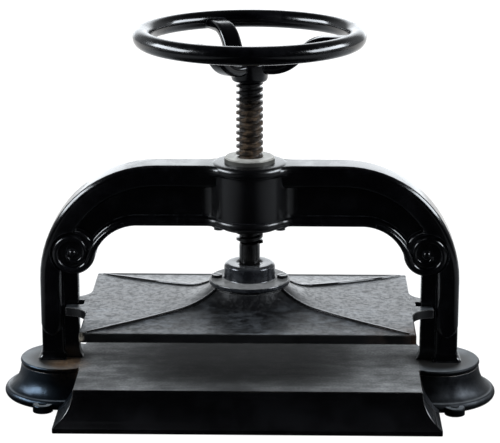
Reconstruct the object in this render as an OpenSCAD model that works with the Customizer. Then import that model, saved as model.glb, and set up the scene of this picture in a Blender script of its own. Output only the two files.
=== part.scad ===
// Letter copying press: a cast base and arch, a screw with a handwheel, and a sliding platen.
// Millimetres. +Z up, front towards -Y, origin on the bench under the screw.

/* [Base] */
// Width of the flat bed
bed_w = 319; // [280:1:319.5]
// Depth of the flat bed, front to back
bed_d = 192; // [170:1:230]
// Height of the bed above the bench
base_h = 36; // [32:0.5:60]
// Thickness of the bed plate
bed_t = 10; // [6:0.5:13]
// How far the hollow-curved skirt spreads at the bench
skirt_flare = 17.5; // [10:0.5:22]
// Height of the upright fillet at the foot of the skirt
skirt_foot = 4.5; // [2:0.5:8]
// Wall left behind the skirt
skirt_wall = 8; // [5:0.5:12]

/* [Pedestals] */
// How far each pedestal's centre stands in from the arch's outer face
pad_in = 18.5; // [14.5:0.5:22.5]
// Radius of the pedestal's neck
pad_r = 40.5; // [36:0.5:44]
// Height of the straight neck
pad_neck = 9; // [6:0.5:11]
// Largest radius of the pedestal's bell
pad_bell_r = 56; // [50:0.5:60]
// Height of the bell's round bottom edge
pad_bell_edge = 9; // [6:0.5:11]
// Thickness of the pedestal's roof
pad_roof = 12; // [8:0.5:13]
// Radius of the hollow under the pedestal
pad_hollow_r = 30; // [27:0.5:32]
// Rounding of the pedestal's upper edge
pad_edge = 2.5; // [1:0.5:4]

/* [Screw-down lugs] */
// How far a lug's hole stands out past its pedestal's centre, sideways
lug_out = 14; // [10:0.5:18]
// Distance of a lug's hole from the screw, front to back
lug_y = 54; // [50:0.5:60]
// Radius of a lug's round end
lug_r = 9.5; // [8:0.5:12]
// Width of a lug where it leaves its pedestal
lug_neck = 15; // [12:0.5:15.5]
// Thickness of a lug
lug_t = 7; // [5:0.5:9]
// Radius of a lug's hole
lug_hole_r = 3.6; // [2.5:0.1:4.5]

/* [Arch] */
// Half the arch's overall width at the legs
arch_half = 196.5; // [195:0.5:200]
// Height of the arch above the pedestals
arch_h = 190.5; // [184:0.5:215]
// Radius of a rounded shoulder
shoulder_r = 110; // [100:0.5:115]
// Width of the outer moulding, seen from the front
flange_w = 21; // [18:0.5:22]
// Depth of the outer moulding, front to back
flange_d = 36; // [32:0.5:42]
// Rounding of the outer moulding's edges
flange_round = 5.5; // [3:0.5:7]
// Thickness of the web
web_t = 12; // [9:0.5:14]
// Width of a leg, inner face to outer face
leg_w = 35; // [34:0.5:36]
// Depth of the crossbar, top to bottom
bar_h = 58.5; // [50:0.5:62]
// Height of the bead along the inner edge
bead_h = 7; // [5:0.5:9]
// Depth of the bead, front to back
bead_d = 29; // [26:0.5:29.5]
// Height of the plain plinth at the foot of a leg
plinth_h = 26; // [20:0.5:30]
// Depth of the plinth, front to back
plinth_d = 22; // [20:0.5:28]
// How far the plinth's foot spreads
foot_flare = 3; // [1:0.5:4]
// Height of the spreading foot
foot_h = 5; // [3:0.5:8]
// Radius of the boss that holds the nut
boss_r = 36; // [34.5:0.5:38]
// How far the boss stands above the crossbar
boss_rise = 1; // [0.5:0.5:3]
// Bevel on the boss's rims
boss_bevel = 2.5; // [1:0.5:4]
// Radius of the fillets between the boss and the web
boss_fillet = 12.5; // [8:0.5:16]

/* [Volutes] */
// Distance of a volute's centre from the leg's outer face
volute_in = 31; // [30:0.5:32]
// Distance of a volute's centre below the top of the arch
volute_drop = 84; // [80:0.5:86]
// Outer radius of a volute
volute_r = 21.5; // [20:0.5:23]
// Depth of a volute, front to back
volute_d = 40; // [38:0.5:44]
// Run of the crossbar's downward bend, from its start to the volute's centre
bend_run = 61; // [56:0.5:66]
// Radius of the dished middle of a volute
dish_r = 13.5; // [12:0.5:15]
// Depth of the dish
dish_depth = 5; // [3:0.5:6]
// Radius of the button in the dish
button_r = 4; // [3:0.5:5]

/* [Screw nut] */
// Radius of the nut's body
nut_r = 23.5; // [20:0.25:24]
// How far the nut stands above the boss
nut_rise = 5; // [3:0.5:10]
// Thickness of the nut's flange under the boss
nut_flange_t = 3; // [2.5:0.5:5]
// Distance of each nut screw from the axis
nut_screw_x = 28.5; // [28:0.25:29]
// Radius of the flange's lobe round each nut screw
nut_lobe_r = 7; // [6:0.25:7.5]

/* [Press screw] */
// Outside radius of the thread
thread_r = 12.5; // [11.5:0.1:14]
// Depth of the thread
thread_depth = 2.9; // [2:0.1:3]
// Rise of the thread in one turn
lead = 6.35; // [5:0.05:8]
// Length from the neck to the handwheel
thread_len = 156; // [150:1:180]
// How far the plain neck stands proud of the thread's root
neck_step = 0.1; // [0:0.05:0.12]
// Length of neck that shows above the retaining cap
neck_show = 18; // [15:0.5:24]
// Width of the square that drives the handwheel
square_w = 13; // [11:0.1:13.1]
// Radius of the threaded tip
tip_r = 6; // [5:0.1:6.2]

/* [Handwheel] */
// Radius to the middle of the rim
wheel_r = 98.6; // [85:0.2:125]
// Radius of the rim's round section
rim_r = 8.4; // [7:0.1:10]
// Height of the rim's middle above the underside of the hub
rim_rise = 41; // [36:0.5:50]
// Radius of the hub
hub_r = 17; // [15:0.5:20]
// Height of the hub
hub_h = 17; // [15.5:0.5:19]
// Width of a spoke
spoke_w = 18; // [14:0.5:20]
// Thickness of a spoke
spoke_t = 9.5; // [8:0.5:11]
// Length over which a spoke dips from the rim to the hub
spoke_dip_run = 52; // [46:0.5:56]
// Direction of the first spoke
spoke_turn = -8; // [-60:1:60]
// How far below the middle of the rim a spoke meets it
spoke_drop = 2.5; // [0:0.5:3.5]

/* [Platen] */
// Width of the platen
platen_w = 304.8; // [290:0.2:305]
// Depth of the platen, front to back
platen_d = 190.4; // [170:0.2:220]
// Thickness of the platen at its edges
platen_t = 9; // [7:0.5:11]
// Daylight under the platen as it is stored
daylight = 45; // [40:0.5:48]
// Height of the platen's hub above its underside
platen_hub_h = 29.5; // [28:0.5:32]
// Radius of the platen's hub
platen_hub_r = 36.5; // [36.2:0.1:38]
// Rise of the hollow-curved panels where they meet the hub
panel_rise = 9.5; // [7:0.5:13]
// Radius of the hollow flare between the hub and the panels
hub_flare = 18; // [15:0.5:20]
// Thickness of a diagonal rib
rib_t = 4; // [3:0.5:6]
// Rise of a rib where it meets the hub
rib_rise = 11.5; // [9:0.5:15]
// Half the depth of a guide fork
fork_half = 17; // [14:0.5:24]
// How far a fork reaches past a leg's inner face
fork_reach = 11.4; // [9:0.1:12]
// Depth of a fork's slot
slot_depth = 16; // [15.5:0.25:17]
// Radius of the fillet between a fork and the platen's edge
fork_fillet = 20; // [8:0.5:20]

/* [Retaining cap] */
// Radius of the cap's collar
cap_r = 24; // [22:0.5:24.5]
// Height of the collar above the flange
cap_h = 15; // [9:0.5:16]
// Rounding of the collar's top edge
cap_round = 4; // [2:0.5:5]
// Radius of the cap's flange
cap_flange_r = 38; // [37:0.5:39]
// Thickness of the cap's flange
cap_flange_t = 4.6; // [3.5:0.1:6]
// Bevel on the cap's edges
cap_bevel = 1.2; // [0.5:0.1:1.6]
// Distance of each cap screw from the axis
cap_screw_x = 30.8; // [30.2:0.1:31]

/* [Thrust bearing] */
// Radius of the pocket in the platen's hub
pocket_r = 20; // [18.5:0.25:22]
// Depth of the pocket
pocket_h = 15.4; // [13:0.1:17]
// Radius of the thrust disc
disc_r = 14; // [11:0.5:17]
// Thickness of the thrust disc
disc_t = 3; // [2:0.5:4]
// Radius of the thrust collar
collar_r = 17.5; // [16:0.25:18]
// Radius of the pin through the collar
collar_pin_r = 2.5; // [2:0.1:3]

/* [Fasteners] */
// Radius of the small screws' heads
head_r = 5; // [4.5:0.1:5.4]
// Height of the small screws' heads
head_h = 3; // [2.6:0.1:4.2]
// Radius of the small screws' shanks
shank_r = 2.5; // [2:0.1:3]
// Length of the small screws' shanks
shank_len = 14; // [10:0.5:16]
// Width of the screwdriver slots
driver_w = 1.4; // [1:0.1:2]
// Depth of the screwdriver slots
driver_depth = 1.4; // [1:0.1:2]
// Direction of the screwdriver slots
driver_turn = 40; // [0:5:90]
// Width across the flats of the handwheel's nut
wheel_nut_af = 24; // [20:0.5:27]
// Height of the handwheel's nut
wheel_nut_h = 8; // [6:0.5:9]
// Radius of the handwheel's washer
wheel_washer_r = 14; // [13:0.25:16]
// Thickness of the handwheel's washer
wheel_washer_t = 2; // [1:0.25:3]
// Radius of the studs that hold the arch down
stud_r = 5.5; // [4:0.1:6.5]
// Length of stud inside a leg
stud_grip = 24; // [18:0.5:40]
// Width across the flats of the stud nuts
stud_nut_af = 19; // [16:0.5:22]
// Height of the stud nuts
stud_nut_h = 9; // [6:0.5:10]
// Radius of the stud washers
stud_washer_r = 12; // [11:0.25:13]
// Thickness of the stud washers
stud_washer_t = 2.5; // [1.5:0.25:3]
// Length of stud that shows past its nut
stud_show = 2; // [1:0.5:3]

/* [Fits] */
// Room on each side of the web in a fork's slot
guide_gap = 0.5; // [0.3:0.05:0.8]
// Radial room of the neck in its bores
running_gap = 0.05; // [0.02:0.01:0.1]
// Radial room of fixed pieces in their holes
seat_gap = 0.05; // [0.03:0.01:0.1]
// Room between the screw's thread and the nut's
thread_gap = 0.35; // [0.25:0.05:0.5]
// End float of the screw in the platen's hub
end_float = 0.3; // [0.1:0.05:0.5]

/* [Hidden] */
$fn = 96;

black_paint = "#17181b";
worn_black = "#2a2c30";
platen_grey = "#5d646b";
screw_steel = "#4a4038";
bronze = "#b9ad93";
bright_steel = "#8b8c8d";

cut = 1;

// Levels, from the bench up
arch_top = base_h + arch_h;
bar_z = arch_top - bar_h;
plinth_z = base_h + plinth_h;
platen_z = base_h + daylight;
platen_edge_z = platen_z + platen_t;
platen_hub_z = platen_z + platen_hub_h;
cap_flange_z = platen_hub_z + cap_flange_t;
cap_top_z = cap_flange_z + cap_h;
thread_z = cap_top_z + neck_show;
hub_z = thread_z + thread_len;
rim_z = hub_z + rim_rise;
pocket_z = platen_hub_z - pocket_h;
disc_top_z = pocket_z + disc_t;
screw_end_z = disc_top_z + end_float / 2;
collar_z = disc_top_z + end_float;
collar_h = platen_hub_z - end_float - collar_z;
nut_flange_z = bar_z - nut_flange_t;
nut_top_z = arch_top + boss_rise + nut_rise;

// The arch's plan of centres
shoulder_x = arch_half - shoulder_r;
shoulder_z = arch_top - shoulder_r;
leg_in = arch_half - leg_w;
stud_x = arch_half - flange_w / 2;
pad_x = arch_half - pad_in;
lug_x = pad_x + lug_out;
fork_end = leg_in + fork_reach;
volute_x = arch_half - volute_in;
volute_z = arch_top - volute_drop;
// The crossbar's lower edge turns down on an arc that runs into the volute's circle
bend_x = volute_x - bend_run;
bend_dz = bar_z - volute_z;
bend_meet = volute_r - cut;
bend_r = (bend_run ^ 2 + bend_dz ^ 2 - bend_meet ^ 2) / (2 * (bend_meet + bend_dz));
bend_z = bar_z - bend_r;
bend_end = atan2(volute_z - bend_z, bend_run);

slot_half = web_t / 2 + guide_gap;
root_r = thread_r - thread_depth;
neck_r = root_r + neck_step;

// Points on an arc in the plane, from one angle to another
function arc(cx, cy, r, from, to, n) =
    [for (i = [0 : n]) [cx + r * cos(from + (to - from) * i / n), cy + r * sin(from + (to - from) * i / n)]];

function flip_x(points) = [for (p = points) [-p[0], p[1]]];

function reversed(points) = [for (i = [len(points) - 1 : -1 : 0]) points[i]];

// A circle's radius from the chord's run and rise, for an arc that starts level
function level_arc_r(run, rise) = (run ^ 2 + rise ^ 2) / (2 * rise);

// A screw thread as one closed solid, with a plain end below and above it
module thread_form(root, crest, z_low, z_start, z_high, turns, widen) {
    n = 20;
    m = turns * n;
    flank = 0.15;
    land = 0.35;
    w = widen / lead;
    profile = [[flank - w, root], [2 * flank - w, crest], [2 * flank + land + w, crest],
        [3 * flank + land + w, root]];
    helix = [for (i = [0 : m], p = profile) let (a = 360 * i / n)
        [p[1] * cos(a), p[1] * sin(a), z_start + lead * (i / n + p[0])]];
    low = [for (j = [0 : n - 1]) [root * cos(360 * j / n), root * sin(360 * j / n), z_low]];
    high = [for (p = low) [p[0], p[1], z_high]];
    b = 4 * (m + 1);
    t = b + n;
    ridge = [for (i = [0 : m - 1], k = [0 : 2]) [4 * i + k, 4 * i + k + 1, 4 * i + k + 5, 4 * i + k + 4]];
    groove = [for (i = [0 : m - n - 1]) [4 * i + 3, 4 * (i + n), 4 * (i + n) + 4, 4 * i + 7]];
    foot = [for (j = [0 : n - 2]) [b + j, 4 * j, 4 * j + 4, b + j + 1]];
    q = 4 * (n - 1);
    foot_seam = [[q, 4 * n, 3], [q, 3, 0], [q, 0, b], [q, b, b + n - 1]];
    crown = [for (j = [1 : n - 1]) [4 * (m - n + j) + 3, t + j, t + (j + 1) % n, 4 * (m - n + j) + 7]];
    f = 4 * (m - n) + 7;
    crown_seam = [[f - 4, 4 * m, f], [4 * m, 4 * m + 3, f], [4 * m + 3, t, f], [t, t + 1, f]];
    ends = [[0, 3, 2, 1], [4 * m, 4 * m + 1, 4 * m + 2, 4 * m + 3],
        [for (j = [0 : n - 1]) b + j], [for (j = [n - 1 : -1 : 0]) t + j]];
    polyhedron(concat(helix, low, high),
        concat(ridge, groove, foot, foot_seam, crown, crown_seam, ends), convexity = 10);
}

// A solid that stands on XY and is as wide as two outlines allow, seen along Y and along X
module both_ways(outline_x, outline_y, reach) {
    intersection() {
        rotate([90, 0, 0]) linear_extrude(2 * reach, center = true) polygon(outline_x);
        rotate([90, 0, 90]) linear_extrude(2 * reach, center = true) polygon(outline_y);
    }
}

module hexagon_nut(af, height, hole_r) {
    difference() {
        cylinder(h = height, r = af / sqrt(3), $fn = 6);
        translate([0, 0, -cut]) cylinder(h = height + 2 * cut, r = hole_r);
    }
}

module washer(outer_r, hole_r, height) {
    difference() {
        cylinder(h = height, r = outer_r);
        translate([0, 0, -cut]) cylinder(h = height + 2 * cut, r = hole_r);
    }
}

// A slotted cheese-head screw that points down, with its head standing on z = 0
module cheese_head_screw() {
    difference() {
        union() {
            cylinder(h = head_h, r = head_r);
            translate([0, 0, -shank_len]) cylinder(h = shank_len + cut, r = shank_r);
        }
        translate([-head_r - cut, -driver_w / 2, head_h - driver_depth])
            cube([2 * head_r + 2 * cut, driver_w, driver_depth + cut]);
    }
}

module skirted_block() {
    w = bed_w / 2;
    d = bed_d / 2;
    cove_h = base_h - skirt_foot;
    cove_r = (skirt_flare ^ 2 + cove_h ^ 2) / (2 * skirt_flare);
    length = bed_w + bed_d;
    difference() {
        translate([-w - skirt_flare, -d - skirt_flare, 0])
            cube([bed_w + 2 * skirt_flare, bed_d + 2 * skirt_flare, base_h]);
        for (s = [-1, 1]) {
            translate([s * (w + cove_r), 0, base_h]) rotate([90, 0, 0])
                cylinder(h = length, r = cove_r, center = true);
            translate([0, s * (d + cove_r), base_h]) rotate([0, 90, 0])
                cylinder(h = length, r = cove_r, center = true);
        }
    }
}

function hollow_outline(half) =
    let (step_z = base_h / 2 - skirt_foot, roof_z = base_h - bed_t,
         low = half + skirt_flare / 2 - skirt_wall / 2, high = half - skirt_wall)
    [[-low, -cut], [low, -cut], [low, skirt_foot / 2], [high, step_z], [high, roof_z], [-high, roof_z],
        [-high, step_z], [-low, skirt_foot / 2]];

module pedestal() {
    neck_z = base_h - pad_neck;
    flare_run = pad_bell_r - pad_r;
    bell_r = pad_bell_edge / 2;
    waist = [pad_bell_r - bell_r, pad_bell_edge];
    sweep_r = level_arc_r(neck_z - waist[1], waist[0] - pad_r);
    sweep = asin((neck_z - waist[1]) / sweep_r);
    rotate_extrude() polygon(concat(
        [[0, 0], [pad_bell_r - bell_r, 0]],
        arc(pad_bell_r - bell_r, bell_r, bell_r, -75, 75, 6),
        reversed(arc(pad_r + sweep_r, neck_z, sweep_r, 180, 180 + sweep, 8)),
        [[pad_r, base_h - pad_edge]],
        arc(pad_r - pad_edge, base_h - pad_edge, pad_edge, 20, 90, 4),
        [[0, base_h]]));
}

module lug() {
    dx = lug_x - pad_x;
    reach = sqrt(dx ^ 2 + lug_y ^ 2);
    translate([lug_x, lug_y, 0]) cylinder(h = lug_t, r = lug_r);
    translate([pad_x, 0, 0]) rotate(atan2(lug_y, dx)) translate([pad_hollow_r + cut, -lug_neck / 2, 0])
        cube([reach - pad_hollow_r - cut, lug_neck, lug_t]);
}

// Hollow cast base: bed, coved skirt, two bell-shaped pedestals and four lugs
module base_casting() {
    color(worn_black) difference() {
        union() {
            skirted_block();
            for (s = [-1, 1]) {
                translate([s * pad_x, 0, 0]) pedestal();
                for (f = [-1, 1]) mirror([s < 0 ? 1 : 0, 0, 0]) mirror([0, f < 0 ? 1 : 0, 0]) lug();
            }
        }
        both_ways(hollow_outline(bed_w / 2), hollow_outline(bed_d / 2), bed_w + bed_d);
        for (s = [-1, 1]) {
            translate([s * pad_x, 0, -cut]) cylinder(h = base_h - pad_roof + cut, r = pad_hollow_r);
            translate([s * stud_x, 0, 0]) cylinder(h = base_h + cut, r = stud_r + seat_gap);
            for (f = [-1, 1])
                translate([s * lug_x, f * lug_y, -cut]) cylinder(h = lug_t + 2 * cut, r = lug_hole_r);
        }
    }
}

module web() {
    d = flange_w / 2;
    half = concat(arc(shoulder_x, shoulder_z, shoulder_r - d, 90, 0, 14),
        [[arch_half - d, base_h], [leg_in, base_h], [leg_in, volute_z]],
        arc(bend_x, bend_z, bend_r + bead_h / 2, bend_end, 90, 10));
    rotate([90, 0, 0]) linear_extrude(web_t, center = true)
        polygon(concat(half, flip_x(reversed(half))));
}

// The outer moulding's section, with its middle at x = 0
module moulding_section() {
    r = flange_round;
    square([flange_w - 2 * r, flange_d], center = true);
    square([flange_w, flange_d - 2 * r], center = true);
    for (s = [-1, 1], f = [-1, 1]) translate([s * (flange_w / 2 - r), f * (flange_d / 2 - r)]) circle(r);
}

module moulding() {
    end_z = plinth_z + flange_w / 2;
    translate([0, 0, arch_top - flange_w / 2]) rotate([0, -90, 0])
        linear_extrude(2 * shoulder_x, center = true) moulding_section();
    for (s = [0, 1]) mirror([s, 0, 0]) {
        translate([shoulder_x, 0, shoulder_z]) rotate([90, 0, 0]) rotate_extrude(angle = 90)
            translate([shoulder_r - flange_w / 2, 0]) moulding_section();
        translate([stud_x, 0, end_z]) linear_extrude(shoulder_z - end_z) moulding_section();
        translate([stud_x, 0, end_z]) intersection() {
            rotate([90, 0, 0]) rotate_extrude() intersection() {
                moulding_section();
                translate([0, -flange_d]) square([flange_w, 2 * flange_d]);
            }
            translate([-flange_w, -flange_d, -flange_w]) cube([2 * flange_w, 2 * flange_d, flange_w]);
        }
    }
}

module inner_bead() {
    half = concat(arc(bend_x, bend_z, bend_r + bead_h, 90, bend_end, 18),
        arc(bend_x, bend_z, bend_r, bend_end, 90, 18));
    rotate([90, 0, 0]) linear_extrude(bead_d, center = true) polygon(concat(half, flip_x(reversed(half))));
}

module volute() {
    y = volute_d / 2;
    floor_y = y - dish_depth;
    edge_y = (bead_d + (volute_d - bead_d) / 2) / 2;
    ring_mid = (dish_r + volute_r) / 2;
    face = [[0, floor_y + button_r / 2], [button_r * 0.7, floor_y + button_r / 3], [button_r, floor_y],
        [dish_r - dish_depth / 2, floor_y], [ring_mid - dish_depth / 2, y], [ring_mid, y],
        [volute_r, edge_y]];
    rotate([90, 0, 0]) rotate_extrude()
        polygon(concat(face, reversed([for (p = face) [p[0], -p[1]]])));
}

module boss() {
    top = arch_top + boss_rise;
    rotate_extrude() polygon([[0, bar_z], [boss_r - boss_bevel, bar_z], [boss_r, bar_z + boss_bevel],
        [boss_r, top - boss_bevel], [boss_r - boss_bevel, top], [0, top]]);
}

// Hollow fillets in the four corners between the boss and the web
module boss_fillets() {
    r = boss_fillet;
    sink = cut / 4;
    y = web_t / 2 + r - sink;
    x = sqrt((boss_r + r - sink) ^ 2 - y ^ 2);
    meet = atan2(y, x);
    inside = boss_r - 2 * cut;
    low = bar_z + bead_h / 2;
    translate([0, 0, low]) linear_extrude(arch_top - flange_w / 2 - low)
        for (s = [0, 1], f = [0, 1]) mirror([s, 0]) mirror([0, f]) polygon(concat(
            [[inside, 0], [x, 0]], arc(x, y, r, 270, 180 + meet, 8),
            [[inside * cos(meet), inside * sin(meet)]]));
}

module plinth() {
    inner = arch_half - flange_w;
    y = plinth_d / 2;
    translate([inner, -y, base_h]) cube([flange_w, plinth_d, plinth_h + flange_w / 2]);
    translate([arch_half, 0, 0]) both_ways(
        [[-flange_w, base_h], [foot_flare, base_h], [0, base_h + foot_h], [-flange_w, base_h + foot_h]],
        [[-y - foot_flare, base_h], [y + foot_flare, base_h], [y, base_h + foot_h], [-y, base_h + foot_h]],
        leg_w + arch_half);
}

// One-piece cast arch: web, outer moulding, inner bead, volutes, plinths and nut boss
module arch_casting() {
    color(black_paint) difference() {
        union() {
            web();
            moulding();
            inner_bead();
            boss();
            boss_fillets();
            for (s = [0, 1]) mirror([s, 0, 0]) {
                translate([volute_x, 0, volute_z]) volute();
                plinth();
            }
        }
        translate([0, 0, bar_z - cut]) cylinder(h = bar_h + boss_rise + 2 * cut, r = nut_r + seat_gap);
        for (s = [-1, 1]) {
            translate([s * nut_screw_x, 0, bar_z - cut])
                cylinder(h = shank_len - nut_flange_t + 2 * cut, r = shank_r + seat_gap);
            translate([s * stud_x, 0, base_h - cut])
                cylinder(h = stud_grip + 2 * cut, r = stud_r + seat_gap);
        }
    }
}

// Flanged nut, pushed up into the boss and threaded for the press screw
module screw_nut() {
    height = nut_top_z - nut_flange_z;
    color(bronze) difference() {
        union() {
            translate([0, 0, nut_flange_z]) rotate_extrude() polygon([[0, 0], [nut_r, 0],
                [nut_r, height - cap_bevel], [nut_r - cap_bevel, height], [0, height]]);
            translate([0, 0, nut_flange_z]) linear_extrude(nut_flange_t) {
                circle(nut_r + nut_lobe_r / 2);
                square([2 * nut_screw_x, 2 * nut_lobe_r], center = true);
                for (s = [-1, 1]) translate([s * nut_screw_x, 0]) circle(nut_lobe_r);
            }
        }
        thread_form(root_r + thread_gap, thread_r + thread_gap, nut_flange_z - 2 * lead,
            thread_z + lead * (floor((nut_flange_z - thread_z) / lead) - 1), nut_top_z + 2 * lead,
            ceil(height / lead) + 2, thread_gap / 2);
        for (s = [-1, 1]) translate([s * nut_screw_x, 0, nut_flange_z - cut])
            cylinder(h = nut_flange_t + 2 * cut, r = shank_r + seat_gap);
    }
}

// Screw that holds the nut's flange up against the boss
module nut_screw(side) {
    color(black_paint) translate([side * nut_screw_x, 0, nut_flange_z]) rotate([180, 0, driver_turn * side])
        cheese_head_screw();
}

// Right-hand press screw: journal below, thread, driving square and threaded tip
module press_screw() {
    turns = floor((thread_len - cut) / lead - 1);
    square_top = hub_z + hub_h - cut;
    tip_top = hub_z + hub_h + wheel_washer_t + wheel_nut_h + cut;
    color(screw_steel) difference() {
        union() {
            translate([0, 0, screw_end_z]) cylinder(h = thread_z - screw_end_z, r = neck_r);
            thread_form(root_r, thread_r, thread_z - 2 * cut, thread_z, hub_z, turns, 0);
            translate([-square_w / 2, -square_w / 2, hub_z - cut])
                cube([square_w, square_w, square_top - hub_z + cut]);
            translate([0, 0, square_top - cut]) cylinder(h = tip_top - square_top + cut, r = tip_r);
        }
        translate([0, 0, collar_z + collar_h / 2]) rotate([0, 90, 0])
            cylinder(h = 3 * neck_r, r = collar_pin_r + seat_gap, center = true);
    }
}

// S-shaped spoke: a bevelled flat bar that is level at the hub, bends twice and is level at the rim
module spoke() {
    rim_level = rim_rise - spoke_drop;
    hub_level = hub_h - spoke_t / 2 - cut / 2;
    near = hub_r + spoke_t / 3;
    far = near + spoke_dip_run;
    bend = 2 * atan((rim_level - hub_level) / spoke_dip_run);
    r = spoke_dip_run / (2 * sin(bend));
    n = 7;
    up = [for (i = [0 : n]) let (a = bend * i / n) [near + r * sin(a), hub_level + r * (1 - cos(a)), a]];
    over = [for (i = [n - 1 : -1 : 0]) let (a = bend * i / n)
        [far - r * sin(a), rim_level - r * (1 - cos(a)), a]];
    path = concat([[0, hub_level, 0]], up, over, [[wheel_r, rim_level, 0]]);
    t = spoke_t / 2;
    w = spoke_w / 2;
    c = spoke_t * 0.3;
    section = [[t - c, -w], [t, c - w], [t, w - c], [t - c, w],
        [c - t, w], [-t, w - c], [-t, c - w], [c - t, -w]];
    points = [for (p = path, q = section) [p[0] - q[0] * sin(p[2]), q[1], p[1] + q[0] * cos(p[2])]];
    k = len(section);
    sides = [for (j = [0 : len(path) - 2], i = [0 : k - 1])
        [j * k + i, j * k + (i + 1) % k, (j + 1) * k + (i + 1) % k, (j + 1) * k + i]];
    first = [for (i = [k - 1 : -1 : 0]) i];
    last = [for (i = [0 : k - 1]) len(points) - k + i];
    polyhedron(points, concat([first, last], sides), convexity = 4);
}

// Dished three-spoke handwheel with a round rim
module handwheel() {
    hole = square_w + 2 * seat_gap;
    color(black_paint) translate([0, 0, hub_z]) difference() {
        union() {
            translate([0, 0, rim_rise]) rotate_extrude() translate([wheel_r, 0]) circle(rim_r);
            rotate_extrude() polygon([[0, 0], [hub_r - cap_bevel, 0], [hub_r, 2 * cap_bevel],
                [hub_r, hub_h], [0, hub_h]]);
            for (i = [0 : 2]) rotate(spoke_turn + 120 * i) spoke();
        }
        translate([-hole / 2, -hole / 2, -cut]) cube([hole, hole, hub_h + 2 * cut]);
    }
}

// Washer between the handwheel's hub and its nut
module wheel_washer() {
    color(bright_steel) translate([0, 0, hub_z + hub_h])
        washer(wheel_washer_r, tip_r + seat_gap, wheel_washer_t);
}

// Nut that keeps the handwheel on its square
module wheel_nut() {
    color(black_paint) translate([0, 0, hub_z + hub_h + wheel_washer_t])
        hexagon_nut(wheel_nut_af, wheel_nut_h, tip_r + seat_gap);
}

// One guide fork in plan, on the +X side
module fork_plan() {
    edge = platen_w / 2;
    translate([platen_hub_r, -fork_half]) square([fork_end - platen_hub_r, 2 * fork_half]);
    for (s = [0, 1]) mirror([0, s]) difference() {
        translate([edge - cut, fork_half - cut])
            square([min(fork_fillet, fork_end - edge) + cut, fork_fillet + cut]);
        translate([edge + fork_fillet, fork_half + fork_fillet]) circle(fork_fillet);
    }
}

module diagonal_rib() {
    corner = sqrt(platen_w ^ 2 + platen_d ^ 2) / 2;
    low_z = platen_edge_z + rib_t / 6;
    r = level_arc_r(corner - platen_hub_r, rib_rise);
    difference() {
        translate([pocket_r + cut, -rib_t / 2, platen_z + cut])
            cube([corner - 2 * rib_t - pocket_r - cut, rib_t, low_z - platen_z - cut + rib_rise]);
        translate([corner, 0, low_z + r]) rotate([90, 0, 0])
            cylinder(h = 3 * rib_t, r = r, center = true, $fn = 360);
    }
}

// Half section of the hub, with the hollow flare that runs out from it and dives under the panels
module platen_hub_section() {
    low = platen_z + cut;
    hollow = arc(platen_hub_r + hub_flare, platen_hub_z - 2 * cut, hub_flare, 180, 236, 4);
    tip = hollow[len(hollow) - 1];
    polygon(concat([[0, low], [0, platen_hub_z], [platen_hub_r, platen_hub_z]], hollow, [[tip[0], low]]));
}

// Platen: hollow-curved panels, four diagonal ribs, a flared hub with a pocket, and two guide forks
module platen() {
    diagonal = atan2(platen_d, platen_w);
    run_x = platen_w / 2 - platen_hub_r * cos(diagonal);
    run_y = platen_d / 2 - platen_hub_r * sin(diagonal);
    panel_x_r = level_arc_r(run_x, panel_rise);
    panel_y_r = level_arc_r(run_y, panel_rise);
    color(platen_grey) difference() {
        union() {
            difference() {
                translate([-platen_w / 2, -platen_d / 2, platen_z]) cube([platen_w, platen_d, platen_hub_h]);
                for (s = [-1, 1]) {
                    translate([s * platen_w / 2, 0, platen_edge_z + panel_x_r]) rotate([90, 0, 0])
                        cylinder(h = 2 * platen_d, r = panel_x_r, center = true, $fn = 720);
                    translate([0, s * platen_d / 2, platen_edge_z + panel_y_r]) rotate([0, 90, 0])
                        cylinder(h = 2 * platen_w, r = panel_y_r, center = true, $fn = 720);
                }
            }
            rotate_extrude() platen_hub_section();
            for (a = [diagonal, 180 - diagonal, 180 + diagonal, -diagonal]) rotate(a) diagonal_rib();
            translate([0, 0, platen_z]) linear_extrude(platen_t - guide_gap) for (s = [0, 1])
                mirror([s, 0]) fork_plan();
        }
        translate([0, 0, pocket_z]) cylinder(h = pocket_h + cut, r = pocket_r);
        for (s = [-1, 1]) translate([s * cap_screw_x, 0, cap_flange_z - shank_len - cut])
            cylinder(h = shank_len + cut, r = shank_r + seat_gap);
        for (s = [0, 1]) mirror([s, 0, 0]) translate([fork_end - slot_depth, -slot_half, platen_z - cut])
            cube([slot_depth + cut, 2 * slot_half, platen_hub_h + 2 * cut]);
    }
}

// Flanged cap that traps the screw's collar in the platen's hub
module retaining_cap() {
    t = cap_flange_t;
    b = cap_bevel;
    bore = neck_r + running_gap;
    color(worn_black) translate([0, 0, platen_hub_z]) difference() {
        rotate_extrude() polygon(concat([[bore, 0], [cap_flange_r - b, 0], [cap_flange_r, b],
            [cap_flange_r, t - b], [cap_flange_r - b, t], [cap_r + b / 2, t], [cap_r, t + b / 2]],
            arc(cap_r - cap_round, t + cap_h - cap_round, cap_round, 0, 90, 5), [[bore, t + cap_h]]));
        for (s = [-1, 1]) translate([s * cap_screw_x, 0, -cut])
            cylinder(h = t + 2 * cut, r = shank_r + seat_gap);
    }
}

// Screw that holds the retaining cap down
module cap_screw(side) {
    color(black_paint) translate([side * cap_screw_x, 0, cap_flange_z]) rotate(driver_turn * side)
        cheese_head_screw();
}

// Hard disc that takes the thrust of the screw's end
module thrust_disc() {
    color(bright_steel) translate([0, 0, pocket_z]) cylinder(h = disc_t, r = disc_r);
}

// Collar on the screw's journal that lifts the platen
module thrust_collar() {
    color(bright_steel) difference() {
        translate([0, 0, collar_z]) washer(collar_r, neck_r + seat_gap, collar_h);
        translate([0, 0, collar_z + collar_h / 2]) rotate([0, 90, 0])
            cylinder(h = 3 * collar_r, r = collar_pin_r + seat_gap, center = true);
    }
}

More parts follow.
